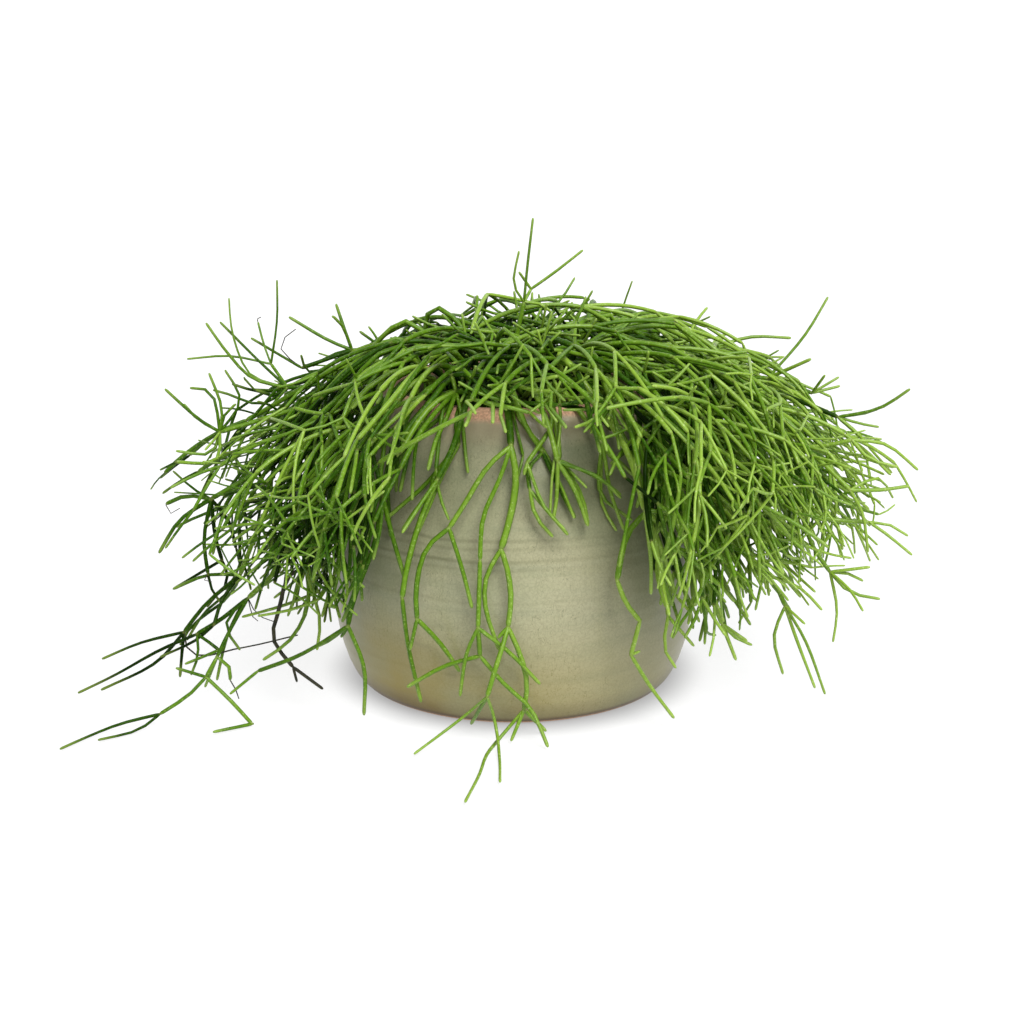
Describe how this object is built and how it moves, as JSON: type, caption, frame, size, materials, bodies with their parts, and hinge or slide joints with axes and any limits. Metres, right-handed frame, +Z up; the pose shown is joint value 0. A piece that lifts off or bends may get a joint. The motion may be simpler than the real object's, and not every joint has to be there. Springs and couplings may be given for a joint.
{
  "type": "potted rhipsalis",
  "caption": "Trailing cactus with thin branching green stems in a rounded glazed clay pot that stands on its flat foot.",
  "frame": {"origin": "middle of the pot's flat foot, on the surface that it stands on", "axes": "+Z up, -Y toward the picture's viewer, +X to the viewer's right"},
  "size_m": [0.444, 0.3732, 0.2518],
  "materials": {
    "glaze": "satin",
    "soil": "matte",
    "stem": "satin"
  },
  "bodies": {
    "root": {"pot": "glaze", "soil": "soil", "spray_arching_1": "stem", "spray_arching_10": "stem", "spray_arching_11": "stem", "spray_arching_12": "stem", "spray_arching_13": "stem", "spray_arching_14": "stem", "spray_arching_15": "stem", "spray_arching_16": "stem", "spray_arching_17": "stem", "spray_arching_18": "stem", "spray_arching_19": "stem", "spray_arching_2": "stem", "spray_arching_20": "stem", "spray_arching_21": "stem", "spray_arching_22": "stem", "spray_arching_23": "stem", "spray_arching_24": "stem", "spray_arching_25": "stem", "spray_arching_26": "stem", "spray_arching_27": "stem", "spray_arching_3": "stem", "spray_arching_4": "stem", "spray_arching_5": "stem", "spray_arching_6": "stem", "spray_arching_7": "stem", "spray_arching_8": "stem", "spray_arching_9": "stem", "spray_crown_1": "stem", "spray_crown_2": "stem", "spray_crown_3": "stem", "spray_crown_4": "stem", "spray_crown_5": "stem", "spray_crown_6": "stem", "spray_crown_7": "stem", "spray_crown_8": "stem", "spray_crown_9": "stem", "spray_front_left_bright": "stem", "spray_front_left_dark": "stem", "spray_front_middle": "stem", "spray_front_right_fine": "stem", "spray_front_right_short": "stem", "spray_left_edge": "stem", "spray_left_fan": "stem", "spray_left_top": "stem", "spray_left_top_far": "stem", "spray_left_trail": "stem", "spray_left_trail_back": "stem", "spray_right_drop": "stem", "spray_right_far": "stem", "spray_right_front": "stem", "spray_right_front_drop": "stem", "spray_right_low": "stem", "spray_right_reach": "stem", "spray_right_spike": "stem", "spray_right_top": "stem", "spray_top_shoots": "stem"}
  },
  "joints": []
}
